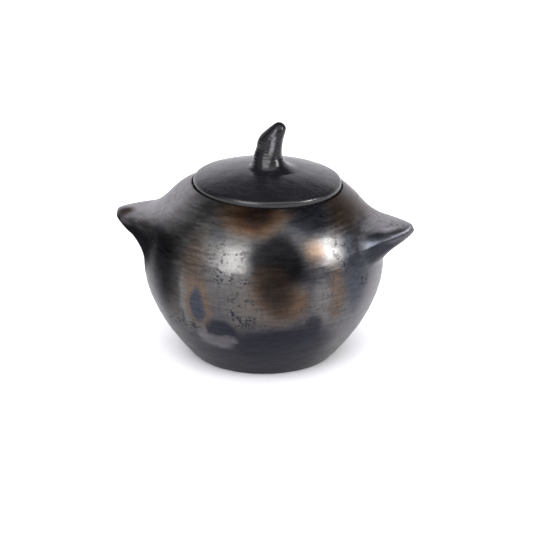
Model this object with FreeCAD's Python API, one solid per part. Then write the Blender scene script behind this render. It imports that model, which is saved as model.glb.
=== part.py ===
"""Hand-built clay sugar bowl: a round pot with two pinched lugs and a lid with a horn-shaped knob.

Millimetres, +Z up. The origin is the centre of the flat foot, and the lugs lie along X.
The pot is pressed and coiled in two halves, the lid rests on a ledge just inside the mouth,
and the lugs and the knob are separate lumps of clay luted on. Each lump is one solid.
"""

import FreeCAD
import Part

import math
import os

from FreeCAD import Placement, Rotation, Vector

# Pot
belly_radius = 54.8        # widest outside radius
belly_height = 44.5        # height of the widest ring above the table
shoulder_rise = 44.9       # vertical half axis of the elliptical shoulder
foot_radius = 32.6         # where the flat foot would meet the wall, before rounding
foot_rounding = 2.5
foot_flare_deg = 44.5      # slope at which the wall leaves the foot
foot_pull = 3.0            # length over which the wall keeps that slope
belly_pull = 22.0          # length over which the wall stays near vertical under the belly
wall = 5.0
floor_thickness = 6.5
floor_spread = 26.0        # how far the flat of the floor pulls the inside curve outwards
inside_belly_pull = 23.0
join_height = 29.0         # where the pressed lower half meets the coiled upper half

# Mouth, which a hand cuts a little off centre and out of level
mouth_radius = 33.9
mouth_shift = 1.6          # offset of the mouth's centre along X
mouth_tilt_deg = 1.2       # lean of the mouth's axis towards +X
rim_rounding = 0.4

# Ledge that carries the lid
seat_depth = 2.4           # below the rim
seat_width = 4.8
seat_thickness = 3.4
seat_rounding = 1.2

# Lid
lid_gap = 0.6              # radial gap between the lid and the mouth
lid_edge_height = 4.5      # from the seat to where the dome starts
lid_rise = 5.7             # height of the dome above its edge
lid_thickness = 5.0
lid_edge_rounding = 2.0
lid_foot_rounding = 0.8
lid_foot_width = 4.6       # flat ring under the lid

# Knob: a horn that leans towards +X
knob_height = 21.0         # above the top of the dome
knob_lean = 4.7            # sideways offset of its tip
knob_shaft_radius = 5.35
knob_root_depth = 1.5      # how deep the loft starts below the dome, before it is trimmed
# share of the height, share of the lean, radius as a share of the shaft's
knob_stations = [
    (0.00, 0.36, 1.93),
    (0.085, 0.15, 1.48),
    (0.17, 0.03, 1.25),
    (0.26, 0.04, 1.12),
    (0.40, 0.16, 1.00),
    (0.54, 0.26, 0.98),
    (0.655, 0.40, 0.945),
    (0.76, 0.62, 0.865),
    (0.87, 0.88, 0.69),
    (0.95, 1.00, 0.425),
    (0.99, 1.00, 0.18),
]
knob_root_share = 2.3      # radius at the start of the loft, as a share of the shaft's

# Lugs: flattened horns, broad at the wall and round at the tip
lug_reach = 68.2           # from the pot's axis to the tip
lug_height = 60.9          # height of the tip
lug_length = 28.3          # from the tip to the end buried in the pot, before it is trimmed
lug_half_width = 23.9      # at the buried end
lug_top = 4.8              # height above the centre line there
lug_bottom = 19.0          # depth below the centre line there
lug_top_spread = 0.25      # power by which the top rises from the tip
lug_bottom_spread = 0.78   # power by which the underside drops
lug_spread_left = 0.62     # power by which the width grows: the left tip is the blunter
lug_spread_right = 0.67
lug_stations = [0.01, 0.03, 0.10, 0.22, 0.38, 0.58, 0.80, 1.0]

# Derived
mouth_share = math.sqrt(1 - (mouth_radius / belly_radius) ** 2)
rim_height = belly_height + shoulder_rise * mouth_share
seat_inner_radius = mouth_radius - seat_width
lid_radius = mouth_radius - lid_gap
lid_bottom = -seat_depth                       # in the mouth's own frame, where the rim is 0
lid_edge_top = lid_bottom + lid_edge_height
dome_top = lid_edge_top + lid_rise
over = 60.0                                    # reach of a cutting tool past what it cuts


def mouth_placement():
    """The mouth's own frame: its centre at rim height, and its axis leaning towards +X."""
    centre = Vector(mouth_shift, 0, rim_height)
    return Placement(centre, Rotation(Vector(0, 1, 0), mouth_tilt_deg))


def point(radius, height):
    return Vector(radius, 0, height)


def bezier(*poles):
    curve = Part.BezierCurve()
    curve.setPoles([point(*pole) for pole in poles])
    return curve.toShape()


def line(start, end):
    return Part.makeLine(point(*start), point(*end))


def spin(edges):
    """Solid of revolution about Z of a closed outline in the XZ plane."""
    face = Part.Face(Part.Wire(Part.__sortEdges__(edges)))
    return face.revolve(Vector(0, 0, 0), Vector(0, 0, 1), 360)


def shoulder_arc(radius, rise):
    """Quarter ellipse from the belly up to the axis, as an edge in the XZ plane."""
    centre = point(0, belly_height)
    ellipse = Part.Ellipse(point(radius, belly_height), centre + Vector(0, 0, rise), centre)
    if rise > radius:
        raise ValueError("the shoulder has to be lower than the belly's radius")
    return Part.Arc(ellipse, 0, math.pi / 2).toShape()


def outside_solid():
    """The pot's outer form with no hollow and no mouth."""
    flare = math.radians(foot_flare_deg)
    foot_pole = (foot_radius + foot_pull * math.cos(flare), foot_pull * math.sin(flare))
    wall_edge = bezier(
        (foot_radius, 0),
        foot_pole,
        (belly_radius, belly_height - belly_pull),
        (belly_radius, belly_height),
    )
    top = belly_height + shoulder_rise
    solid = spin([
        line((0, 0), (foot_radius, 0)),
        wall_edge,
        shoulder_arc(belly_radius, shoulder_rise),
        line((0, top), (0, 0)),
    ])
    foot_edge = [edge for edge in solid.Edges if edge.BoundBox.ZMax < 1e-6 and edge.Length > 1]
    return solid.makeFillet(foot_rounding, foot_edge)


def inside_solid():
    """The hollow: what the pot holds, closed at the top by the shoulder."""
    radius = belly_radius - wall
    rise = shoulder_rise - wall
    top = belly_height + rise
    return spin([
        bezier(
            (0, floor_thickness),
            (floor_spread, floor_thickness),
            (radius, belly_height - inside_belly_pull),
            (radius, belly_height),
        ),
        shoulder_arc(radius, rise),
        line((0, top), (0, floor_thickness)),
    ])


def mouth_cutter():
    cutter = Part.makeCylinder(mouth_radius, over, Vector(0, 0, -shoulder_rise / 2))
    cutter.Placement = mouth_placement()
    return cutter


def round_rim(shell):
    """Softens the sharp outer edge of the mouth."""
    def on_rim(edge):
        box = edge.BoundBox
        return box.ZMin > rim_height - seat_depth and edge.Length > math.pi * mouth_radius

    return shell.makeFillet(rim_rounding, [edge for edge in shell.Edges if on_rim(edge)])


def pot_halves():
    """The pressed lower half and the coiled upper half, which meet at the join."""
    shell = outside_solid().cut(inside_solid()).cut(mouth_cutter())
    below = Part.makeBox(2 * over, 2 * over, join_height, Vector(-over, -over, 0))
    return shell.common(below), round_rim(shell.cut(below))


def lid_seat():
    """A coil of clay luted round the inside of the mouth."""
    top = -seat_depth
    ring = Part.makeCylinder(mouth_radius, seat_thickness, Vector(0, 0, top - seat_thickness))
    hole = Part.makeCylinder(seat_inner_radius, seat_thickness, Vector(0, 0, top - seat_thickness))
    ring = ring.cut(hole)
    inner = [
        edge for edge in ring.Edges
        if edge.Length > 1.9 * math.pi * seat_inner_radius and edge.BoundBox.XMax < seat_inner_radius + 0.1
    ]
    ring = ring.makeFillet(seat_rounding, inner)
    ring.Placement = mouth_placement()
    return ring


def dome_arc(edge_radius, edge_height, rise):
    """Arc from the edge of a shallow dome to its top on the axis."""
    curvature = (edge_radius ** 2 + rise ** 2) / (2 * rise)
    half = math.asin(edge_radius / curvature) / 2
    middle = (curvature * math.sin(half), edge_height + rise - curvature * (1 - math.cos(half)))
    return Part.Arc(
        point(edge_radius, edge_height), point(*middle), point(0, edge_height + rise)
    ).toShape()


def lid_plate():
    """A shallow dish with a flat foot ring, in the mouth's own frame."""
    foot_inner = lid_radius - lid_foot_width
    under_top = dome_top - lid_thickness
    solid = spin([
        line((foot_inner, lid_bottom), (lid_radius, lid_bottom)),
        line((lid_radius, lid_bottom), (lid_radius, lid_edge_top)),
        dome_arc(lid_radius, lid_edge_top, lid_rise),
        line((0, dome_top), (0, under_top)),
        dome_arc(foot_inner, lid_bottom, under_top - lid_bottom),
    ])

    def ring_at(height):
        return [
            edge for edge in solid.Edges
            if abs(edge.BoundBox.ZMax - height) < 1e-4 and edge.BoundBox.XMax > lid_radius - 1e-3
            and edge.BoundBox.ZLength < 1e-3
        ]

    solid = solid.makeFillet(lid_edge_rounding, ring_at(lid_edge_top))
    return solid.makeFillet(lid_foot_rounding, ring_at(lid_bottom))


def circle_wire(centre, radius):
    return Part.Wire(Part.Circle(centre, Vector(0, 0, 1), radius).toShape())


def knob(plate):
    """The horn, lofted through level circles and trimmed to the dome that it stands on."""
    sections = [(-knob_root_depth / knob_height, knob_stations[0][1], knob_root_share)]
    sections += knob_stations
    wires = []
    for height_share, lean_share, radius_share in sections:
        centre = Vector(lean_share * knob_lean, 0, dome_top + height_share * knob_height)
        wires.append(circle_wire(centre, radius_share * knob_shaft_radius))
    horn = Part.makeLoft(wires, True, False)
    return horn.cut(plate)


def lug_section(reach, half_width, top, bottom):
    """Closed outline across a lug: a flat half ellipse on top and a deeper one below."""
    centre = Vector(reach, 0, lug_height)
    side = Vector(0, half_width, 0)

    def half(height):
        ellipse = Part.Ellipse(centre + side, centre + Vector(0, 0, height), centre)
        return Part.Arc(ellipse, 0, math.pi).toShape()

    return Part.Wire([half(top), half(-bottom)])


def lug(pot, spread):
    """A lug on the +X side, trimmed to the outside of the pot that it is luted to."""
    wires = []
    for share in lug_stations:
        half_width = lug_half_width * share ** spread
        wires.append(lug_section(
            lug_reach - (share - lug_stations[0]) * lug_length,
            half_width,
            min(lug_top * share ** lug_top_spread, 0.9 * half_width),
            lug_bottom * share ** lug_bottom_spread,
        ))
    return Part.makeLoft(wires, True, False).cut(pot)


def main():
    os.makedirs("parts", exist_ok=True)
    bowl_lower, bowl_upper = pot_halves()
    plate = lid_plate()
    horn = knob(plate)
    for piece in (plate, horn):
        piece.Placement = mouth_placement().multiply(piece.Placement)
    lug_right = lug(outside_solid(), lug_spread_right)
    lug_left = lug(outside_solid(), lug_spread_left).mirror(Vector(0, 0, 0), Vector(1, 0, 0))
    parts = {
        "bowl_lower": bowl_lower,
        "bowl_upper": bowl_upper,
        "lid_seat": lid_seat(),
        "lug_left": lug_left,
        "lug_right": lug_right,
        "lid_plate": plate,
        "knob": horn,
    }
    for name, shape in parts.items():
        solids = shape.Solids
        print(name, "solids", len(solids), "valid", shape.isValid(), "volume", round(shape.Volume, 1))
        body = solids[0] if len(solids) == 1 else Part.makeCompound(solids)
        body.exportStep("parts/" + name + ".step")


main()
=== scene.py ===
"""Smoke-fired clay sugar bowl with a loose lid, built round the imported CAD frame.

The shapes below are in millimetres and are scaled to metres when a mesh is made.
"""

import math

import bpy
import numpy as np
from mathutils import Matrix, Vector


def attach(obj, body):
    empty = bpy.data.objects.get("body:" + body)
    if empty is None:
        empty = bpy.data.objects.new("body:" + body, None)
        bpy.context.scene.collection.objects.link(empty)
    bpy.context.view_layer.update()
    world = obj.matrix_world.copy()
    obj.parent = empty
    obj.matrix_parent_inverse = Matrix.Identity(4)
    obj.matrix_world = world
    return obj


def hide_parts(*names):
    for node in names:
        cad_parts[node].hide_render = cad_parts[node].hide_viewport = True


MM = 0.001
SHARP_ANGLE = math.radians(50)

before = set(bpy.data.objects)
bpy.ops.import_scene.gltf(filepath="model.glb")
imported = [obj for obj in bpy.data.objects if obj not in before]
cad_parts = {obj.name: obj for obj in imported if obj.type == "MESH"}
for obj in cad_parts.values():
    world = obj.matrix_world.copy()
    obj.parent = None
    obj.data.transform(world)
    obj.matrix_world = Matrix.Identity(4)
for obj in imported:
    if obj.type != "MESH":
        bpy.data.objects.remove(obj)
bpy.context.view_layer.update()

# ---------------------------------------------------------------- the form
# The main sizes are the CAD's. The roundings, the blends and the lugs' heights are finer here.
BELLY_RADIUS = 54.8
BELLY_HEIGHT = 44.5
SHOULDER_RISE = 44.9
FOOT_RADIUS = 32.6
FOOT_ROUNDING = 2.2
FOOT_FLARE = math.radians(44.5)
FOOT_PULL = 3.0
BELLY_PULL = 22.0
WALL = 5.0
FLOOR = 6.5
FLOOR_SPREAD = 26.0
INSIDE_PULL = 23.0
JOIN = 29.0                # height where the pressed and the coiled halves meet

MOUTH_RADIUS = 33.9
MOUTH_SHIFT = 1.6
MOUTH_TILT = math.radians(1.2)
RIM_SOFTNESS = 0.7
SHOULDER_ARC = 48.0        # a little over the length of the shoulder's line, belly to mouth

SEAT_DEPTH = 2.4
SEAT_WIDTH = 4.8
SEAT_THICKNESS = 3.4
SEAT_ROUNDING = 1.3
SEAT_UNDER_ROUNDING = 0.8

LID_RADIUS = MOUTH_RADIUS - 0.6
LID_EDGE = 4.5
LID_RISE = 5.7
LID_THICKNESS = 5.0
LID_RING = 4.6             # width of the flat ring that rests on the ledge
LID_FOOT_ROUNDING = 0.9
LID_EDGE_ROUNDING = 1.2
DOME_TOP = -SEAT_DEPTH + LID_EDGE + LID_RISE

KNOB_HEIGHT = 21.0
KNOB_LEAN = 4.7
KNOB_SHAFT = 5.35
KNOB_FOOT = 12.6           # radius where its foot has melted into the dome
KNOB_FOOT_LEAN = 2.3
KNOB_FULLNESS = 0.8        # how much its left side bulges

LUG_REACH = 68.2
LUG_HEIGHT = 60.9
LUG_LENGTH = 28.3          # from the tip to where the full section would be
LUG_HALF_WIDTH = 23.9
LUG_BLEND = 7.5            # how far the root spreads over the wall
LUG_BLEND_SQUASH = 0.93    # the same up and down, as a share of that

# ---------------------------------------------------------------- what the hand left
HAND_DEPTH = 0.30          # mean depth of the outside within the ideal form
JOIN_GROOVE = 0.10
JOIN_GROOVE_WIDTH = 0.55
LEFT_FULLNESS = 1.4        # the left shoulder stands this far out of the ideal form
LEFT_SPREAD = 0.85         # radians round the pot

AROUND = 480               # points round the pot
FOOT_FLAT_POINTS = 22      # points of the profile on the foot's flat, and on the turn beside it
FOOT_TURN_POINTS = 9

rim_height = BELLY_HEIGHT + SHOULDER_RISE * math.sqrt(1 - (MOUTH_RADIUS / BELLY_RADIUS) ** 2)
mouth_frame = (
    Matrix.Translation((MOUTH_SHIFT, 0, rim_height)) @ Matrix.Rotation(MOUTH_TILT, 4, "Y")
)


# ---------------------------------------------------------------- small helpers
def to_row(points):
    """Points in the mouth's own frame, taken to the object's frame."""
    turn = np.array(mouth_frame.to_3x3())
    return points @ turn.T + np.array(mouth_frame.translation)


def smooth(low, high, value):
    t = np.clip((value - low) / (high - low), 0, 1)
    return t * t * (3 - 2 * t)


def hand_noise(points, wavelength, seed, stretch=(1, 1, 1), waves=14):
    """Smooth unevenness of a hand-made surface, about -1 to 1, from a few crossing waves."""
    rng = np.random.default_rng(seed)
    total = np.zeros(points.shape[:-1])
    for _ in range(waves):
        way = rng.normal(size=3)
        way /= np.linalg.norm(way)
        length = wavelength * rng.uniform(0.7, 1.5)
        k = 2 * math.pi / length * way * np.array(stretch)
        total += np.sin(points @ k + rng.uniform(0, 2 * math.pi))
    return total / math.sqrt(waves) / 1.4


def bezier(poles, shares):
    """Points, or whole rings of points, on the cubic curve of four poles."""
    a, b, c, d = (np.asarray(pole, float) for pole in poles)
    return np.stack([
        (1 - k) ** 3 * a + 3 * (1 - k) ** 2 * k * b + 3 * (1 - k) * k ** 2 * c + k ** 3 * d
        for k in shares
    ])


def rounded(start, corner, end, shares):
    """Points, or whole rings of points, on the curve that rounds a corner off."""
    a, b, c = (np.asarray(point, float) for point in (start, corner, end))
    return np.stack([(1 - k) ** 2 * a + 2 * (1 - k) * k * b + k ** 2 * c for k in shares])


def circle(count=AROUND):
    return np.arange(count) * 2 * math.pi / count


def lathe(profile, angles):
    """Rings from (radius, height) pairs."""
    radius, height = profile[:, :1], profile[:, 1:]
    level = np.broadcast_to(height, (len(profile), len(angles)))
    return np.stack([radius * np.cos(angles), radius * np.sin(angles), level], -1)


def skin(name, rings, start=None, end=None, inner_from=None):
    """A closed mesh through rings of points. Its ends close on a point each, or on each other.
    Faces from ring inner_from on take the piece's second material."""
    count, around = rings.shape[:2]
    points = list(rings.reshape(-1, 3) * MM)
    index = np.arange(count * around).reshape(count, around)
    after = np.roll(index, -1, 1)
    rows = [(index[:-1], after[:-1], after[1:], index[1:])]
    if start is None:
        rows.append((index[-1:], after[-1:], after[:1], index[:1]))
    faces = np.concatenate([np.stack(row, -1).reshape(-1, 4) for row in rows]).tolist()
    if start is not None:
        points += [np.asarray(start, float) * MM, np.asarray(end, float) * MM]
        first, last = count * around, count * around + 1
        faces += [(first, b, a) for a, b in zip(index[0], after[0])]
        faces += [(last, a, b) for a, b in zip(index[-1], after[-1])]
    mesh = bpy.data.meshes.new(name)
    mesh.from_pydata([tuple(p) for p in points], [], [tuple(int(i) for i in f) for f in faces])
    mesh.polygons.foreach_set("use_smooth", [True] * len(mesh.polygons))
    if inner_from is not None:
        quads = (count - 1 + (start is None)) * around
        inner = [
            inner_from * around <= i < quads or i >= quads + around
            for i in range(len(mesh.polygons))
        ]
        mesh.polygons.foreach_set("material_index", [int(i) for i in inner])
    mesh.set_sharp_from_angle(angle=SHARP_ANGLE)
    mesh.update()
    piece = bpy.data.objects.new(name, mesh)
    bpy.context.scene.collection.objects.link(piece)
    return piece


# ---------------------------------------------------------------- the pot's surfaces
def hand_depth(points):
    """How far the hand-smoothed outside lies inside the ideal form, in millimetres."""
    broad = 0.16 * hand_noise(points, 46, 3)
    strokes = 0.05 * hand_noise(points, 15, 5, (1, 1, 2.0))
    fine = 0.018 * hand_noise(points, 6, 8, (1, 1, 2.6), 20)
    height = points[..., 2]
    join = JOIN_GROOVE * np.exp(-((height - JOIN) / JOIN_GROOVE_WIDTH) ** 2)
    depth = np.clip(HAND_DEPTH - broad - strokes - fine + join, 0.02, 0.9)
    from_left = np.arctan2(points[..., 1], -points[..., 0])
    full = LEFT_FULLNESS * np.exp(-(from_left / LEFT_SPREAD) ** 2)
    full *= smooth(50, 66, height) * smooth(79.4, 76, height)
    return depth * smooth(rim_height + 0.5, rim_height - 6, height) - full


def roughen(points):
    """Moves points of the outside in towards the pot's axis by the hand depth."""
    radius = np.linalg.norm(points[..., :2], axis=-1, keepdims=True)
    share = 1 - hand_depth(points)[..., None] / np.maximum(radius, 12)
    moved = points.copy()
    moved[..., :2] *= share
    return moved


def outside_profile():
    """(radius, height) pairs of the wall from the foot's flat to the belly."""
    corner = np.array([FOOT_RADIUS, 0.0])
    flare = np.array([math.cos(FOOT_FLARE), math.sin(FOOT_FLARE)])
    wall = bezier([
        corner, corner + FOOT_PULL * flare,
        (BELLY_RADIUS, BELLY_HEIGHT - BELLY_PULL), (BELLY_RADIUS, BELLY_HEIGHT),
    ], np.linspace(0, 1, 96))
    start = FOOT_ROUNDING * math.tan((math.pi - FOOT_FLARE) / 4) * 0.62
    wall = wall[np.linalg.norm(wall - wall[0], axis=1) > start]
    flat_end = corner - (start, 0)
    turn = rounded(flat_end, corner, wall[0], np.linspace(0, 1, FOOT_TURN_POINTS))
    flat_radii = np.linspace(1.5, flat_end[0], FOOT_FLAT_POINTS)
    flat = np.stack([flat_radii, np.zeros(FOOT_FLAT_POINTS)], -1)
    return np.concatenate([flat[:-1], turn[:-1], wall])


def outside_radius(height):
    """Ideal outside radius at heights between the foot and the mouth."""
    wall = outside_profile()[FOOT_FLAT_POINTS + FOOT_TURN_POINTS - 1:]
    low = np.interp(height, wall[:, 1], wall[:, 0])
    share = np.clip((height - BELLY_HEIGHT) / SHOULDER_RISE, 0, 0.999)
    return np.where(height > BELLY_HEIGHT, BELLY_RADIUS * np.sqrt(1 - share ** 2), low)


def outside_point(azimuth, height):
    radius = outside_radius(height)
    flat = np.stack([radius * np.cos(azimuth), radius * np.sin(azimuth), height + 0 * radius], -1)
    return roughen(flat)


def mouth_corner(angles, radius, rise):
    """Where the mouth's cylinder meets an ellipsoid of the shoulder, for angles round the mouth."""
    local = MOUTH_RADIUS * np.stack([np.cos(angles), np.sin(angles), 0 * angles], -1)
    for _ in range(30):
        point = to_row(local)
        flat = np.hypot(point[:, 0], point[:, 1])
        wanted = BELLY_HEIGHT + rise * np.sqrt(np.clip(1 - (flat / radius) ** 2, 0, 1))
        local[:, 2] += wanted - point[:, 2]
    return to_row(local)


def shoulder_rings(angles, radius, rise, shares):
    """Rings on the shoulder's ellipsoid from the belly (share 0) to the mouth's corner (share 1)."""
    corner = mouth_corner(angles, radius, rise)
    top = np.arcsin((corner[:, 2] - BELLY_HEIGHT) / rise)
    turn = np.arctan2(corner[:, 1], corner[:, 0]) - angles
    turn = (turn + math.pi) % (2 * math.pi) - math.pi
    share = np.asarray(shares)[:, None]
    climb, azimuth = share * top, angles + share * turn
    flat, height = radius * np.cos(climb), BELLY_HEIGHT + rise * np.sin(climb)
    return np.stack([flat * np.cos(azimuth), flat * np.sin(azimuth), height], -1)


def inside_profile():
    """(radius, height) pairs from the floor's centre to the inside belly."""
    radius = BELLY_RADIUS - WALL
    return bezier([
        (0, FLOOR), (FLOOR_SPREAD, FLOOR),
        (radius, BELLY_HEIGHT - INSIDE_PULL), (radius, BELLY_HEIGHT),
    ], np.linspace(0.03, 1, 48))


def split_at_join(profile):
    """The parts of a rising profile below and above the join, both with a point on it."""
    radius = np.interp(JOIN, profile[-40:, 1], profile[-40:, 0])
    on_join = np.array([[radius, JOIN]])
    below = profile[profile[:, 1] < JOIN - 0.2]
    above = profile[profile[:, 1] > JOIN + 0.2]
    return np.concatenate([below, on_join]), np.concatenate([on_join, above])


def build_pot():
    angles = circle()
    out_low, out_high = split_at_join(outside_profile())
    in_low, in_high = split_at_join(inside_profile())

    lower_out = roughen(lathe(out_low, angles))
    lower_out[..., 2] = np.maximum(lower_out[..., 2], 0)
    lower_in = lathe(in_low[::-1], angles)
    rings = np.concatenate([lower_out, lower_in])
    lower = skin("pot_lower_half", rings, (0, 0, 0), (0, 0, FLOOR), len(lower_out) - 1)

    corner = mouth_corner(angles, BELLY_RADIUS, SHOULDER_RISE)
    last = 1 - RIM_SOFTNESS / SHOULDER_ARC
    shares = np.linspace(0, last, 80)
    belly_up = roughen(shoulder_rings(angles, BELLY_RADIUS, SHOULDER_RISE, shares))
    down = np.array(mouth_frame.to_3x3()) @ np.array([0, 0, -1.0])
    rim = rounded(belly_up[-1], corner, corner + down * RIM_SOFTNESS, np.linspace(0, 1, 8)[1:])
    inner_radius, inner_rise = BELLY_RADIUS - WALL, SHOULDER_RISE - WALL
    under = mouth_corner(angles, inner_radius, inner_rise)
    share = np.linspace(0, 1, 10)[1:, None, None]
    throat = rim[-1] * (1 - share) + under * share
    inner = shoulder_rings(angles, inner_radius, inner_rise, np.linspace(0.985, 0, 36))
    outer = [roughen(lathe(out_high[:-1], angles)), belly_up, rim]
    upper = np.concatenate(outer + [throat, inner, lathe(in_high[:-1][::-1], angles)])
    # the smoke reaches a few rings down the throat
    inner_from = sum(len(part) for part in outer) + 4
    return lower, skin("pot_upper_half", upper, inner_from=inner_from)


def build_ledge():
    """The coil of clay inside the mouth that the lid rests on."""
    inner, top, low = MOUTH_RADIUS - SEAT_WIDTH, -SEAT_DEPTH, -SEAT_DEPTH - SEAT_THICKNESS
    turn = np.linspace(0, math.pi / 2, 8)
    over, under = SEAT_ROUNDING, SEAT_UNDER_ROUNDING
    nose = np.stack([inner + over - over * np.sin(turn), top - over + over * np.cos(turn)], -1)
    nose_low = np.stack([
        inner + under - under * np.cos(turn), low + under - under * np.sin(turn)
    ], -1)
    flat = np.stack([np.linspace(MOUTH_RADIUS, inner + over + 0.2, 8), np.full(8, top)], -1)
    profile = np.concatenate([flat, nose, nose_low, [[MOUTH_RADIUS, low]]])
    rings = lathe(profile, circle(360))
    free = smooth(MOUTH_RADIUS - 1, inner, profile[:, 0])[:, None]
    away = 0.25 * hand_noise(rings, 14, 21) * free
    rings[..., :2] *= (1 + np.abs(away) / inner)[..., None]
    return skin("lid_ledge", to_row(rings))


# ---------------------------------------------------------------- lid and knob
def dome_height(radius):
    curvature = (LID_RADIUS ** 2 + LID_RISE ** 2) / (2 * LID_RISE)
    return DOME_TOP - curvature + np.sqrt(curvature ** 2 - radius ** 2)


def build_lid():
    bottom, edge = -SEAT_DEPTH, -SEAT_DEPTH + LID_EDGE
    ring_in = LID_RADIUS - LID_RING
    under_top = DOME_TOP - LID_THICKNESS
    rise = under_top - bottom
    curvature = (ring_in ** 2 + rise ** 2) / (2 * rise)
    radius = np.linspace(1.2, ring_in, 30)
    under = np.stack([
        radius, under_top - curvature + np.sqrt(curvature ** 2 - radius ** 2)
    ], -1)
    shares = np.linspace(0, 1, 8)
    foot = rounded(
        (LID_RADIUS - LID_FOOT_ROUNDING, bottom), (LID_RADIUS, bottom),
        (LID_RADIUS, bottom + LID_FOOT_ROUNDING), shares,
    )
    inside = LID_RADIUS - 1.5
    edge_turn = rounded(
        (LID_RADIUS, edge - LID_EDGE_ROUNDING), (LID_RADIUS - 0.05, edge),
        (inside, float(dome_height(inside))), shares,
    )
    radius = np.linspace(inside - 0.5, 1.0, 66)
    dome = np.stack([radius, dome_height(radius)], -1)
    profile = np.concatenate([under, foot, edge_turn, dome])
    rings = lathe(profile, circle(512))

    # a little out of round, with a hand-smoothed top
    outer = smooth(20, LID_RADIUS, profile[:, 0])[:, None]
    lobes = 0.5 + 0.5 * hand_noise(rings * (1, 1, 0), 34, 31)
    rings[..., :2] *= (1 - 0.0045 * outer * np.clip(lobes, 0, 1))[..., None]
    top = smooth(edge - 1.5, edge, profile[:, 1])[:, None]
    swell = 0.10 * hand_noise(rings, 26, 33) + 0.03 * hand_noise(rings, 9, 34)
    rings[..., 2] += top * swell * smooth(8, 14, profile[:, 0])[:, None]
    ends = to_row(np.array([[0, 0, under_top], [0, 0, DOME_TOP]]))
    return skin("lid_dome", to_row(rings), *ends)


def spline(stations, samples):
    """Smooth curve through rows of stations (Catmull-Rom), as rows."""
    rows = np.asarray(stations, float)
    padded = np.concatenate([[2 * rows[0] - rows[1]], rows, [2 * rows[-1] - rows[-2]]])
    position = np.linspace(0, len(rows) - 1, samples)
    i = np.minimum(position.astype(int), len(rows) - 2)
    t = (position - i)[:, None]
    a, b, c, d = padded[i], padded[i + 1], padded[i + 2], padded[i + 3]
    return 0.5 * (
        2 * b + (c - a) * t + (2 * a - 5 * b + 4 * c - d) * t ** 2
        + (3 * b - a - 3 * c + d) * t ** 3
    )


def build_knob():
    """The horn: its foot melts into the dome and its tip bends towards +X."""
    # height, sideways place and radius as shares of KNOB_HEIGHT, KNOB_LEAN and KNOB_SHAFT
    stations = [
        (0.15, 0.06, 1.29), (0.26, 0.04, 1.12), (0.40, 0.16, 1.00),
        (0.54, 0.26, 0.98), (0.655, 0.40, 0.945), (0.76, 0.62, 0.865),
        (0.87, 0.88, 0.69), (0.95, 1.00, 0.425), (0.985, 1.00, 0.21),
    ]
    scale = np.array([KNOB_HEIGHT, KNOB_LEAN, KNOB_SHAFT])
    path = spline(stations, 90) * scale
    angles = circle(160)
    ring = np.stack([np.cos(angles), np.sin(angles), 0 * angles], -1)

    def level(row):
        height, lean, radius = row
        return ring * radius + np.array([lean, 0, DOME_TOP + height])

    horn = np.stack([level(row) for row in path])
    foot = ring * KNOB_FOOT + np.array([KNOB_FOOT_LEAN, 0, 0])
    out = np.hypot(foot[:, 0], foot[:, 1])
    foot[:, 2] = dome_height(out) - 0.03
    inward = -ring.copy()
    inward[:, 2] = dome_height(out - 0.5) - dome_height(out + 0.5)
    inward /= np.linalg.norm(inward, axis=1, keepdims=True)
    slope = horn[0] - horn[1]
    slope /= np.linalg.norm(slope, axis=1, keepdims=True)
    poles = [foot, foot + inward * 3.9, horn[0] + slope * 2.6, horn[0]]
    rings = np.concatenate([bezier(poles, np.linspace(0, 1, 26)[:-1]), horn])

    # pinched by the fingers, with faint level ribs, and fuller on its left
    centre, height = rings.mean(1, keepdims=True), rings[..., 2]
    ribs = 0.005 * np.sin(height * 4.4) * smooth(DOME_TOP + 2, DOME_TOP + 5, height)
    pinch = 0.028 * hand_noise(rings, 13, 41) + ribs
    grow = 1 + smooth(DOME_TOP - 1, DOME_TOP + 3, height) * pinch
    rings[..., :2] = centre[..., :2] + (rings[..., :2] - centre[..., :2]) * grow[..., None]
    left = np.clip((centre[..., 0] - rings[..., 0]) / 5.0, 0, 1)
    climb = (rings[..., 2] - DOME_TOP) / KNOB_HEIGHT
    rings[..., 0] -= KNOB_FULLNESS * left * smooth(0.0, 0.4, climb) * smooth(1.0, 0.5, climb)
    ends = to_row(np.array([
        [KNOB_FOOT_LEAN, 0, DOME_TOP - 2.5], [KNOB_LEAN, 0, DOME_TOP + KNOB_HEIGHT * 0.988]
    ]))
    return skin("knob_horn", to_row(rings), *ends)


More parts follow.
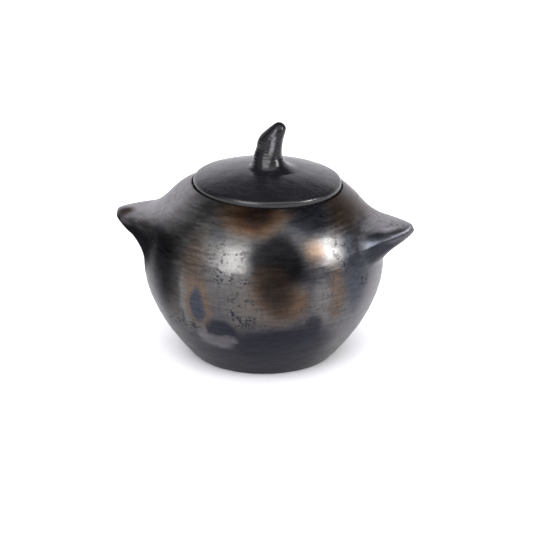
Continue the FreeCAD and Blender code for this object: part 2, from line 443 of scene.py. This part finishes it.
# ---------------------------------------------------------------- lugs
def build_lug(name, side, spread, top, top_spread, bottom, under_reach, droop, seed):
    """A pinched lug: a flattened horn whose root spreads into the wall.

    It is made towards +X and mirrored where side is -1. spread and top_spread are how fast its
    width and its upper height grow from the tip, as powers. top and bottom are its height above
    and below its middle at full section. under_reach is how far the root spreads underneath, and
    droop how far the front edge hangs below the tip at full section.
    """
    turns = circle(200)
    across = np.cos(turns)
    up = np.sin(turns)

    def section(share):
        """Ring of the horn at a share of its length from the tip, which may differ round it."""
        share = share + 0 * turns
        width = LUG_HALF_WIDTH * share ** spread
        high, low = np.minimum(top * share ** top_spread, 0.9 * width), bottom * share ** 0.78
        flat_up = np.sign(up) * np.abs(up) ** 0.9
        hang = droop * share * np.clip(-across, 0, 1) ** 2
        height = LUG_HEIGHT + np.where(up > 0, high, low) * flat_up - hang
        return np.stack([LUG_REACH - share * LUG_LENGTH, width * across, height], -1)

    # share at which each line along the horn reaches the wall
    low, high = np.full(turns.shape, 0.05), np.full(turns.shape, 1.0)
    for _ in range(40):
        middle = (low + high) / 2
        point = section(middle)
        inside = np.hypot(point[:, 0], point[:, 1]) < outside_radius(point[:, 2])
        high, low = np.where(inside, middle, high), np.where(inside, low, middle)
    meet_share = (low + high) / 2
    meet = section(meet_share)

    # the foot of the blend, away from the lug over the wall
    azimuth = np.arctan2(meet[:, 1], meet[:, 0])
    over, rise = azimuth * BELLY_RADIUS, meet[:, 2] - LUG_HEIGHT + 3.0
    away = np.stack([over / 20.0, rise / 9.0], -1)
    away /= np.linalg.norm(away, axis=1, keepdims=True)
    reach = LUG_BLEND + (under_reach - LUG_BLEND) * smooth(0.0, 0.8, -up)
    foot_azimuth = azimuth + away[:, 0] * reach / BELLY_RADIUS
    foot_height = meet[:, 2] + away[:, 1] * reach * LUG_BLEND_SQUASH

    def wall_at(step):
        """Wall points a step in millimetres back from the foot towards the lug."""
        around = foot_azimuth - away[:, 0] * step / BELLY_RADIUS
        height = foot_height - away[:, 1] * step * LUG_BLEND_SQUASH
        return outside_point(around if side > 0 else math.pi - around, height) * (side, 1, 1)

    foot = wall_at(0.0)
    tangent = wall_at(0.25) - wall_at(-0.25)
    tangent /= np.linalg.norm(tangent, axis=1, keepdims=True)
    back_off = (6.5 + 1.5 * np.clip(-up, 0, 1)) / LUG_LENGTH
    top_share = np.maximum(meet_share - back_off, 0.3 * meet_share)
    horn_end = section(top_share)
    horn_way = section(top_share + 0.01) - section(top_share - 0.01)
    horn_way /= np.linalg.norm(horn_way, axis=1, keepdims=True)
    out = foot / np.linalg.norm(foot * (1, 1, 0), axis=1, keepdims=True) * (1, 1, 0)
    poles = [
        foot - out * 0.04, foot + tangent * reach[:, None] * 0.62,
        horn_end + horn_way * 4.2, horn_end,
    ]
    horn = np.stack([section(0.0006 + top_share * step) for step in np.linspace(1, 0, 60) ** 1.8])
    rings = np.concatenate([bezier(poles, np.linspace(0, 1, 34)[:-1]), horn])
    far = smooth(58, 62, rings[..., 0])[..., None]
    bump = 0.16 * hand_noise(rings, 15, seed)[..., None] * far
    centre = np.array([1, 0, 0]) * rings.mean(1, keepdims=True) + np.array([0, 0, LUG_HEIGHT])
    rings = rings + (rings - centre) / 12.0 * bump * (0, 1, 1)
    rings[..., 0] = np.minimum(rings[..., 0], LUG_REACH)
    mirror = (side, 1, 1)
    rings = rings * mirror
    if side < 0:
        rings = rings[:, ::-1]
    root, tip = np.array([50.0, 0, LUG_HEIGHT - 3]), np.array([LUG_REACH, 0, LUG_HEIGHT])
    return skin(name, rings, root * mirror, tip * mirror)


pot_lower, pot_upper = build_pot()
ledge = build_ledge()
lug_left = build_lug(
    "lug_left_pinched", side=-1, spread=0.58, top=5.4, top_spread=0.18,
    bottom=20.6, under_reach=8.0, droop=0.0, seed=52,
)
lug_right = build_lug(
    "lug_right_pinched", side=1, spread=0.67, top=5.3, top_spread=0.22,
    bottom=19.0, under_reach=4.6, droop=5.0, seed=51,
)
lid = build_lid()
knob = build_knob()


# ---------------------------------------------------------------- materials
class Nodes:
    """Short calls for building a node tree."""

    def __init__(self, tree):
        self.tree = tree

    def add(self, kind, settings=None, **inputs):
        node = self.tree.nodes.new(kind)
        for key, value in (settings or {}).items():
            setattr(node, key, value)
        for key, value in inputs.items():
            self.plug(value, node.inputs[key])
        return node

    def plug(self, value, socket):
        if isinstance(value, bpy.types.NodeSocket):
            self.tree.links.new(value, socket)
        elif value is not None:
            socket.default_value = value

    def vector(self, operation, a, b=None, scale=None):
        node = self.add("ShaderNodeVectorMath", {"operation": operation})
        self.plug(a, node.inputs[0])
        self.plug(b, node.inputs[1])
        if scale is not None:
            self.plug(scale, node.inputs["Scale"])
        return node.outputs["Value" if operation in ("LENGTH", "DOT_PRODUCT", "DISTANCE") else "Vector"]

    def math(self, operation, a, b=None):
        node = self.add("ShaderNodeMath", {"operation": operation})
        self.plug(a, node.inputs[0])
        self.plug(b, node.inputs[1])
        return node.outputs[0]

    def span(self, value, low, high, to_low=0.0, to_high=1.0):
        """Smooth step of a value from low to high."""
        node = self.add("ShaderNodeMapRange", {"interpolation_type": "SMOOTHSTEP"})
        for key, number in (("Value", value), ("From Min", low), ("From Max", high),
                            ("To Min", to_low), ("To Max", to_high)):
            self.plug(number, node.inputs[key])
        return node.outputs["Result"]

    def mix(self, factor, a, b):
        """Mix of two colours. The sockets are by number, as a Mix node has several named A and B."""
        node = self.add("ShaderNodeMix", {"data_type": "RGBA"})
        self.plug(factor, node.inputs["Factor"])
        self.plug(a, node.inputs[6])
        self.plug(b, node.inputs[7])
        return node.outputs[2]


class Material(Nodes):
    """One material's node tree. Lengths in it are millimetres."""

    def __init__(self, name):
        self.material = bpy.data.materials.new(name)
        self.material.use_nodes = True
        super().__init__(self.material.node_tree)
        self.shader = self.tree.nodes["Principled BSDF"]
        place = self.tree.nodes.new("ShaderNodeTexCoord").outputs["Object"]
        self.place = self.vector("SCALE", place, scale=1 / MM)

    def noise(self, size, detail=2.0, rough=0.5, place=None, squash=None, color=False):
        """Noise whose lumps are about size across. squash scales the axes first."""
        vector = self.place if place is None else place
        if squash:
            vector = self.vector("MULTIPLY", vector, squash)
        node = self.add("ShaderNodeTexNoise", Vector=vector, Scale=0.6 / size, Detail=detail,
                        Roughness=rough)
        return node.outputs["Color" if color else "Fac"]

    def bump(self, height):
        node = self.add("ShaderNodeBump", Strength=1.0, Distance=MM, Height=height)
        self.plug(node.outputs[0], self.shader.inputs["Normal"])

    def shifted(self, amounts):
        """The place moved about by noise, so that edges drawn from it wander."""
        place = self.place
        for size, amount in amounts:
            drift = self.vector("SUBTRACT", self.noise(size, 2.0, color=True), (0.5, 0.5, 0.5))
            place = self.vector("ADD", place, self.vector("SCALE", drift, scale=amount))
        return place

    def blob(self, place, centre, half, turn=(0, 0, 0), soft=0.3):
        """1 inside an ellipsoid and 0 outside, over an edge that is soft as a share of its size."""
        node = self.add("ShaderNodeMapping", {"vector_type": "TEXTURE"}, Vector=place,
                        Location=centre, Rotation=turn, Scale=half)
        return self.span(self.vector("LENGTH", node.outputs[0]), 1 + soft, max(1 - soft, 0.02))


# Finishes that the fire left, with one that paints reflection and one that adds painted shade to soot:
# colour, metallic sheen, roughness, and how bright the sheen gets at a glancing angle.
FINISHES = {
    "graphite": ((0.040, 0.040, 0.045), 0.90, 0.33, 1.0),
    "silver": ((0.100, 0.097, 0.095), 0.92, 0.31, 0.9),
    "bronze": ((0.090, 0.066, 0.050), 0.92, 0.32, 0.8),
    "brown": ((0.034, 0.016, 0.010), 0.90, 0.33, 0.6),
    "rust": ((0.100, 0.062, 0.037), 0.92, 0.32, 0.8),
    "umber": ((0.045, 0.030, 0.021), 0.90, 0.33, 0.7),
    "blue": ((0.031, 0.036, 0.049), 0.90, 0.33, 0.7),
    "slate": ((0.016, 0.017, 0.022), 0.90, 0.33, 0.6),
    "black": ((0.004, 0.004, 0.005), 0.94, 0.32, 0.4),
    "charcoal": ((0.011, 0.011, 0.019), 0.86, 0.36, 0.9),
    "ash": ((0.090, 0.087, 0.095), 0.85, 0.36, 1.0),
    # soot with painted shade, for the underside of the left lug
    "soot_and_shade": ((0.008, 0.008, 0.010), 0.95, 0.42, 0.1),
    # a light grey that paints the reflection on the lugs' tops and on the upper left shoulder
    "painted_reflection": ((0.230, 0.222, 0.245), 0.25, 0.45, 1.0),
}

# Smoke clouds on the pot, with painted shade on the left flank and a painted reflection on the upper
# left
# shoulder, laid one over another: degrees round from the front (positive towards the right lug),
# height, half width and half height in millimetres, tilt in degrees, softness, finish, strength. A much
# longer list is more than one shader holds, and the pot turns black.
CLOUDS = [
    # partly black smoke and partly painted shade, darkening the left flank
    (-52, 50, 18, 21, 0, 0.5, "black", 0.90),
    (-50, 76, 22, 8, 0, 0.5, "silver", 0.80),
    # painted reflection: light grey on the upper left shoulder, where the white sweep glances off it
    (-74, 74, 18, 9, 0, 0.6, "painted_reflection", 0.55),
    (60, 26, 18, 18, 0, 0.5, "ash", 0.85),
    (-64, 28, 14, 22, 0, 0.6, "ash", 0.70),
    (-12, 61, 19, 11, 0, 0.5, "silver", 0.95),
    (-13, 46, 15, 14, 0, 0.6, "silver", 0.22),
    (-22, 69, 9, 6, 0, 0.5, "silver", 0.60),
    (-27, 56, 5, 14, 0, 0.6, "bronze", 0.75),
    (47, 64, 9, 9, 0, 0.5, "silver", 0.95),
    (35, 62, 4.5, 7, 0, 0.6, "rust", 0.75),
    (49, 74, 3, 8, -8, 0.5, "silver", 0.85),
    (18, 46, 15, 14, 0, 0.5, "bronze", 0.50),
    (34, 53, 7, 9, 0, 0.6, "blue", 0.65),
    (38, 41, 5.0, 12, 0, 0.5, "silver", 0.90),
    (46, 43, 4.5, 13, 0, 0.5, "bronze", 0.85),
    (59, 46, 8, 13, 0, 0.6, "blue", 0.85),
    (75, 55, 12, 9, 0, 0.6, "blue", 0.70),
    (57, 63, 4, 9, 0, 0.6, "blue", 0.55),
    (16, 60, 12.5, 12, 0, 0.35, "black", 0.94),
    (13, 48, 8, 9, 0, 0.5, "umber", 0.90),
    (19, 43, 9, 6.5, -15, 0.5, "umber", 0.95),
    (15, 48, 6.5, 8, 0, 0.6, "black", 0.70),
    (26, 42, 3.0, 6.5, 25, 0.8, "rust", 0.35),
    (66, 75, 17, 7, 0, 0.6, "umber", 0.95),
    (-15, 71, 4.5, 3.5, 0, 0.6, "blue", 0.55),
    (37, 76, 12, 9, 0, 0.4, "blue", 0.60),
    (38, 76.5, 9.0, 6.5, 0, 0.25, "slate", 0.88),
    (2, 78, 15, 8.5, 0, 0.4, "rust", 0.90),
    (4, 76.5, 10, 5.5, 0, 0.4, "brown", 0.90),
    (6, 77, 5.5, 3.2, 0, 0.5, "black", 0.65),
    (0, 6, 40, 13, 0, 0.30, "charcoal", 1.0),
    (18, 18, 26, 14, 0, 0.28, "charcoal", 1.0),
    (-38, 17, 14, 14, 0, 0.5, "charcoal", 0.65),
    (-13, 27, 8, 6, 0, 0.3, "charcoal", 0.95),
    (34, 30, 3.5, 5, 0, 0.45, "charcoal", 0.85),
    (80, 42, 14, 12, 0, 0.5, "ash", 0.80),
    (-17, 21, 7.5, 3.8, 10, 0.35, "ash", 0.85),
    (-24, 26, 3.0, 5.5, 0, 0.35, "ash", 0.85),
    (-9, 23, 4, 2.2, 0, 0.4, "ash", 0.7),
    (-31, 40, 2.4, 12, 0, 0.6, "silver", 0.80),
    (-23, 40, 6.5, 12, 0, 0.3, "bronze", 0.95),
    (-23, 39, 3.5, 9, 0, 0.3, "blue", 0.95),
    # the far side
    (110, 64, 20, 12, 10, 0.5, "bronze", 0.7),
    (125, 40, 18, 16, 0, 0.5, "black", 0.9),
    (150, 62, 16, 13, 0, 0.5, "silver", 0.8),
    (165, 44, 12, 14, 0, 0.5, "brown", 0.7),
    (178, 72, 15, 8, 0, 0.4, "black", 0.9),
    (195, 48, 14, 16, 0, 0.5, "blue", 0.8),
    (215, 62, 17, 12, -10, 0.5, "bronze", 0.7),
    (238, 38, 16, 14, 0, 0.4, "ash", 0.7),
    (160, 14, 34, 12, 0, 0.2, "charcoal", 1.0),
    (215, 18, 26, 11, 0, 0.25, "charcoal", 0.95),
    (110, 16, 18, 12, 0, 0.3, "charcoal", 0.8),
]

# Smoke clouds on the lugs, with painted reflection on their tops and painted shade under and along
# their
# fronts: centre, half sizes, turn in degrees, softness, finish, strength.
LUG_CLOUDS = [
    # painted reflection: the left lug's top made light grey
    ((-57, -2, 65), (13, 15, 4.5), 0, 0.5, "painted_reflection", 0.7),
    # painted shade under the left lug's front, over some real soot
    ((-57, -15, 53), (16, 14, 10), 0, 0.45, "soot_and_shade", 0.95),
    ((-62.5, -4, 62.5), (4, 3, 2.5), 0, 0.6, "brown", 0.9),
    ((-65.5, -4, 60), (4, 3.5, 2.2), 0, 0.5, "black", 0.95),
    # painted reflection: the right lug's top made light grey
    ((60, -3, 65), (13, 17, 5), 0, 0.5, "painted_reflection", 0.7),
    # painted shade under the right lug's front
    ((57, -15, 55), (13, 8, 5), 0, 0.4, "slate", 0.8),
    # painted shade: a dark band along the right lug's lip, above its highlight
    ((58.5, -10.5, 62.5), (13, 2.8, 2.6), 37, 0.5, "slate", 0.90),
]

# Where the surface is pitted: degrees round, height, half width, half height, strength.
PITTED = [
    (-2, 38, 8, 8, 1.0), (0, 50, 3, 6, 0.9), (-11, 54, 6, 4, 0.9), (-34, 27, 9, 7, 1.0),
    (-10, 63, 12, 6, 0.6), (54, 60, 6, 10, 0.9), (48, 76, 4, 5, 0.9), (30, 36, 5, 5, 0.7),
    (62, 48, 5, 7, 0.8), (170, 50, 14, 16, 0.9), (220, 34, 14, 12, 0.8),
]


def wall_place(degrees, height):
    """Centre and turn of something on the wall."""
    angle = math.radians(degrees)
    radius = float(outside_radius(np.array(float(height))))
    return (radius * math.sin(angle), -radius * math.cos(angle), height), angle


def smoked_clay():
    """Burnished clay under the smoke clouds. The sheen is carried as a colour whose channels are
    the metallic sheen, the roughness and the brightness at a glancing angle."""
    n = Material("smoked_clay")
    place = n.shifted([(11, 5.5), (3.6, 2.4), (1.1, 0.6)])
    color, *sheen = FINISHES["graphite"]
    drift = n.span(n.noise(16, 3), 0.35, 0.68)
    color = n.mix(drift, (*color, 1), (0.075, 0.070, 0.065, 1))
    sheen = n.mix(drift, (*sheen, 1), (0.88, 0.32, 0.9, 1))

    def lay(mask, strength, finish):
        """Both the colour and the sheen with a finish laid over them where the mask is."""
        mask = n.math("MULTIPLY", mask, strength)
        tint, *shine = FINISHES[finish]
        return n.mix(mask, color, (*tint, 1)), n.mix(mask, sheen, (*shine, 1))

    for degrees, height, wide, tall, tilt, soft, finish, strength in CLOUDS:
        centre, angle = wall_place(degrees, height)
        mask = n.blob(place, centre, (wide, 18, tall), (0, math.radians(tilt), angle), soft)
        color, sheen = lay(mask, strength, finish)

    for centre, half, turn, soft, finish, strength in LUG_CLOUDS:
        mask = n.blob(place, centre, half, (0, 0, math.radians(turn)), soft)
        color, sheen = lay(mask, strength, finish)

    # pits: small dark hollows where grit was dragged out
    where = n.span(n.noise(14, 2), 0.52, 0.70, 0.0, 0.4)
    for degrees, height, wide, tall, strength in PITTED:
        centre, angle = wall_place(degrees, height)
        mask = n.blob(place, centre, (wide, 12, tall), (0, 0, angle), 0.5)
        where = n.math("MAXIMUM", where, n.math("MULTIPLY", mask, strength))
    where = n.math("MULTIPLY", where, n.span(n.noise(2.6, 2), 0.42, 0.54))
    cells = n.add("ShaderNodeTexVoronoi", Vector=n.shifted([(1.6, 1.3), (0.6, 0.4)]), Scale=0.70)
    size = n.span(cells.outputs["Color"], 0.2, 0.9, 0.15, 0.75)
    depth = n.span(n.math("SUBTRACT", size, cells.outputs["Distance"]), -0.05, 0.12)
    pit = n.math("MULTIPLY", depth, where)
    color = n.mix(n.math("MULTIPLY", pit, 0.9), color, (0.009, 0.011, 0.018, 1))
    sheen = n.mix(n.math("MULTIPLY", pit, 0.9), sheen, (0.7, 0.45, 0.5, 1))

    # burnishing strokes run level round the pot, and fainter ones up and down
    lines = n.noise(0.75, 3, 0.65, squash=(0.16, 0.16, 1), place=n.shifted([(12, 1.2)]))
    strokes = n.noise(2.6, 2, 0.5, squash=(0.22, 0.22, 1), place=n.shifted([(15, 2.0)]))
    grain = n.noise(0.5, 2, 0.6)
    upright = n.noise(0.7, 2, 0.6, squash=(1, 1, 0.16), place=n.shifted([(9, 1.5)]))
    level_shade = n.span(lines, 0.3, 0.72, 0.78, 1.18)
    upright_shade = n.span(upright, 0.3, 0.72, 0.91, 1.08)
    shade = n.math("MULTIPLY", level_shade, upright_shade)
    parts = n.add("ShaderNodeSeparateColor", Color=sheen)
    n.plug(n.vector("SCALE", color, scale=shade), n.shader.inputs["Base Color"])
    n.plug(parts.outputs["Red"], n.shader.inputs["Metallic"])
    n.plug(parts.outputs["Blue"], n.shader.inputs["Specular Tint"])
    worn = n.math("ADD", parts.outputs["Green"], n.span(lines, 0.3, 0.8, -0.05, 0.07))
    n.plug(worn, n.shader.inputs["Roughness"])
    height = n.math("ADD", n.math("MULTIPLY", lines, 0.032), n.math("MULTIPLY", strokes, 0.05))
    height = n.math("ADD", height, n.math("MULTIPLY", grain, 0.018))
    n.bump(n.math("SUBTRACT", height, n.math("MULTIPLY", pit, 0.05)))
    round_pot = n.vector("NORMALIZE", n.vector("CROSS_PRODUCT", (0.0, 0.0, 1.0), n.place))
    n.plug(round_pot, n.shader.inputs["Tangent"])
    n.shader.inputs["Anisotropic"].default_value = 0.45
    return n.material


def smoked_inside():
    """The unburnished inside, wiped level with wet fingers."""
    n = Material("smoked_clay_inside")
    wiped = n.noise(1.6, 3, 0.6, squash=(0.12, 0.12, 1))
    cloud = n.span(n.noise(12, 3), 0.35, 0.7)
    color = n.mix(cloud, (0.030, 0.029, 0.031, 1), (0.075, 0.070, 0.070, 1))
    color = n.mix(n.span(wiped, 0.35, 0.7, 0.0, 0.35), color, (0.11, 0.10, 0.095, 1))
    n.plug(color, n.shader.inputs["Base Color"])
    n.plug(n.span(wiped, 0.3, 0.7, 0.46, 0.62), n.shader.inputs["Roughness"])
    n.bump(n.math("MULTIPLY", wiped, 0.12))
    n.shader.inputs["Metallic"].default_value = 0.15
    return n.material


def black_clay(name, smoothest, gloss, ribs=None):
    """The lid's even black, with brush marks and a few dents. smoothest is its least roughness.
    ribs is the depth of the knob's level ribs, and comes with a painted highlight down the knob's
    front."""
    n = Material(name)
    place = n.shifted([(6, 2.0)])
    cloud = n.span(n.noise(13, 3), 0.35, 0.7)
    color = n.mix(cloud, (0.0055, 0.0052, 0.0068, 1), (0.0085, 0.0080, 0.0105, 1))
    brush = n.noise(0.9, 3, 0.6, squash=(0.16, 1, 1), place=place)
    color = n.mix(n.span(brush, 0.55, 0.8, 0.0, 0.35), color, (0.018, 0.017, 0.020, 1))
    cells = n.add("ShaderNodeTexVoronoi", Vector=n.shifted([(1.2, 0.6)]), Scale=0.42)
    pit = n.span(n.math("SUBTRACT", 0.12, cells.outputs["Distance"]), -0.02, 0.08)
    pit = n.math("MULTIPLY", pit, n.span(n.noise(8, 2), 0.5, 0.62))
    if ribs:
        # a painted highlight down the knob's front, in level bands: a light colour and a metallic sheen
        # on a stripe
        painted_highlight = n.blob(place, (4.2, -5.0, 97), (0.9, 3.0, 8.5), (0, math.radians(11), 0), 0.6)
        bands = n.span(n.noise(1.0, 2, 0.6, squash=(0.2, 0.2, 1)), 0.36, 0.60, 0.3, 1.0)
        painted_highlight = n.math("MULTIPLY", painted_highlight, bands)
        color = n.mix(painted_highlight, color, (0.15, 0.148, 0.158, 1))
        n.plug(n.math("MULTIPLY", painted_highlight, 0.9), n.shader.inputs["Metallic"])
    n.plug(color, n.shader.inputs["Base Color"])
    n.plug(n.span(brush, 0.3, 0.75, smoothest, smoothest + 0.09), n.shader.inputs["Roughness"])
    dents = n.math("MULTIPLY", n.noise(3.5, 2), 0.12)
    height = n.math("ADD", n.math("MULTIPLY", brush, 0.035), dents)
    height = n.math("SUBTRACT", height, n.math("MULTIPLY", pit, 0.10))
    if ribs:
        level = n.noise(0.55, 2, 0.5, squash=(0.1, 0.1, 1))
        height = n.math("ADD", height, n.math("MULTIPLY", level, ribs))
    n.bump(height)
    n.shader.inputs["Specular IOR Level"].default_value = gloss
    return n.material


smoked = smoked_clay()
inside = smoked_inside()
black = black_clay("black_clay", smoothest=0.25, gloss=0.40)
black_knob = black_clay("black_clay_knob", smoothest=0.18, gloss=0.22, ribs=0.06)

pieces = [
    (pot_lower, "bowl", "bowl_lower", "smoked_clay", smoked),
    (pot_upper, "bowl", "bowl_upper", "smoked_clay", smoked),
    (ledge, "bowl", "lid_seat", "smoked_clay", inside),
    (lug_left, "bowl", "lug_left", "smoked_clay", smoked),
    (lug_right, "bowl", "lug_right", "smoked_clay", smoked),
    (lid, "lid", "lid_plate", "black_clay", black),
    (knob, "lid", "knob", "black_clay", black_knob),
]
for piece, body, node, slot, material in pieces:
    piece.data.materials.append(material)
    if piece in (pot_lower, pot_upper):
        piece.data.materials.append(inside)
    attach(piece, body)
    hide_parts(node)


# ---------------------------------------------------------------- stage, light and camera
CAMERA_AZIMUTH = math.radians(9.43)
CAMERA_ELEVATION = math.radians(21.2)
CAMERA_DISTANCE = 0.9
TARGET = Vector((0, 0, 0.042))

# the directions from the bowl to the camera, to the picture's right and to its top
back = Vector((
    math.sin(CAMERA_AZIMUTH) * math.cos(CAMERA_ELEVATION),
    -math.cos(CAMERA_AZIMUTH) * math.cos(CAMERA_ELEVATION),
    math.sin(CAMERA_ELEVATION),
))
right = Vector((math.cos(CAMERA_AZIMUTH), math.sin(CAMERA_AZIMUTH), 0))
up = back.cross(right)


def add_camera():
    data = bpy.data.cameras.new("camera")
    data.sensor_width = 36
    data.lens = 133.4
    data.shift_x = 0.00525
    data.shift_y = -0.01066
    data.clip_start, data.clip_end = 0.05, 50
    camera = bpy.data.objects.new("camera", data)
    bpy.context.scene.collection.objects.link(camera)
    turn = Matrix((right, up, back)).transposed().to_4x4()
    camera.matrix_world = Matrix.Translation(TARGET + back * CAMERA_DISTANCE) @ turn
    bpy.context.scene.camera = camera


def add_softbox(name, direction, distance, width, height, watts):
    """A rectangle of light that faces the bowl from a direction."""
    data = bpy.data.lights.new(name, "AREA")
    data.shape = "RECTANGLE"
    data.size, data.size_y = width, height
    data.energy = watts
    light = bpy.data.objects.new(name, data)
    bpy.context.scene.collection.objects.link(light)
    way = direction.normalized()
    light.location = TARGET + way * distance
    light.rotation_euler = way.to_track_quat("Z", "Y").to_euler()
    return light


add_camera()
softboxes = [
    add_softbox("softbox_high", up * 0.75 + back, 1.0, 1.5, 0.7, 6),
    add_softbox("softbox_left", right * -0.41 + up * 0.13 + back * 0.88, 1.0, 0.48, 0.54, 7.4),
    add_softbox("softbox_right", right * 0.85 + up * 0.30 + back * 0.45, 1.0, 0.26, 0.44, 9.5),
]
# the softboxes make the highlights, and the two lights below only the even light on the floor
# and the clay
overhead = add_softbox("overhead", Vector((0, 0.15, 1)), 1.4, 3.0, 3.0, 38)
fill = add_softbox("fill", up * 0.35 + back, 1.5, 2.0, 1.2, 22)
overhead.visible_glossy = fill.visible_glossy = False
for light in softboxes:
    light.visible_diffuse = False


def add_floor():
    mesh = bpy.data.meshes.new("floor")
    mesh.from_pydata([(-6, -6, 0), (6, -6, 0), (6, 6, 0), (-6, 6, 0)], [], [(0, 1, 2, 3)])
    floor = bpy.data.objects.new("floor", mesh)
    bpy.context.scene.collection.objects.link(floor)
    n = Material("floor")
    n.shader.inputs["Base Color"].default_value = (0.93, 0.92, 0.95, 1)
    n.shader.inputs["Roughness"].default_value = 0.9
    mesh.materials.append(n.material)


def add_world():
    """White all round for the eye. What shines sees a white sweep behind the bowl, a dark room
    at its sides and a dim glow from the front."""
    world = bpy.data.worlds.new("studio")
    bpy.context.scene.world = world
    world.use_nodes = True
    n = Nodes(world.node_tree)
    way = n.add("ShaderNodeTexCoord").outputs["Generated"]
    path = n.add("ShaderNodeLightPath").outputs

    def towards(axis, low, high):
        return n.span(n.vector("DOT_PRODUCT", way, axis), low, high)

    front = towards((back.x, back.y, 0), -0.1, 0.35)
    behind = towards((-back.x, -back.y, 0), 0.20, 0.85)
    low_down = towards((0, 0, 1), 0.60, 0.36)
    room = n.mix(front, (0.03, 0.03, 0.034, 1), (0.75, 0.75, 0.77, 1))
    room = n.mix(n.math("MULTIPLY", behind, low_down), room, (1.35, 1.32, 1.40, 1))
    light = n.mix(path["Is Glossy Ray"], (0.8, 0.8, 0.82, 1), room)
    color = n.mix(path["Is Camera Ray"], light, (1, 1, 1, 1))
    n.plug(color, n.tree.nodes["Background"].inputs["Color"])


add_floor()
add_world()
bpy.context.scene.view_settings.view_transform = "Standard"
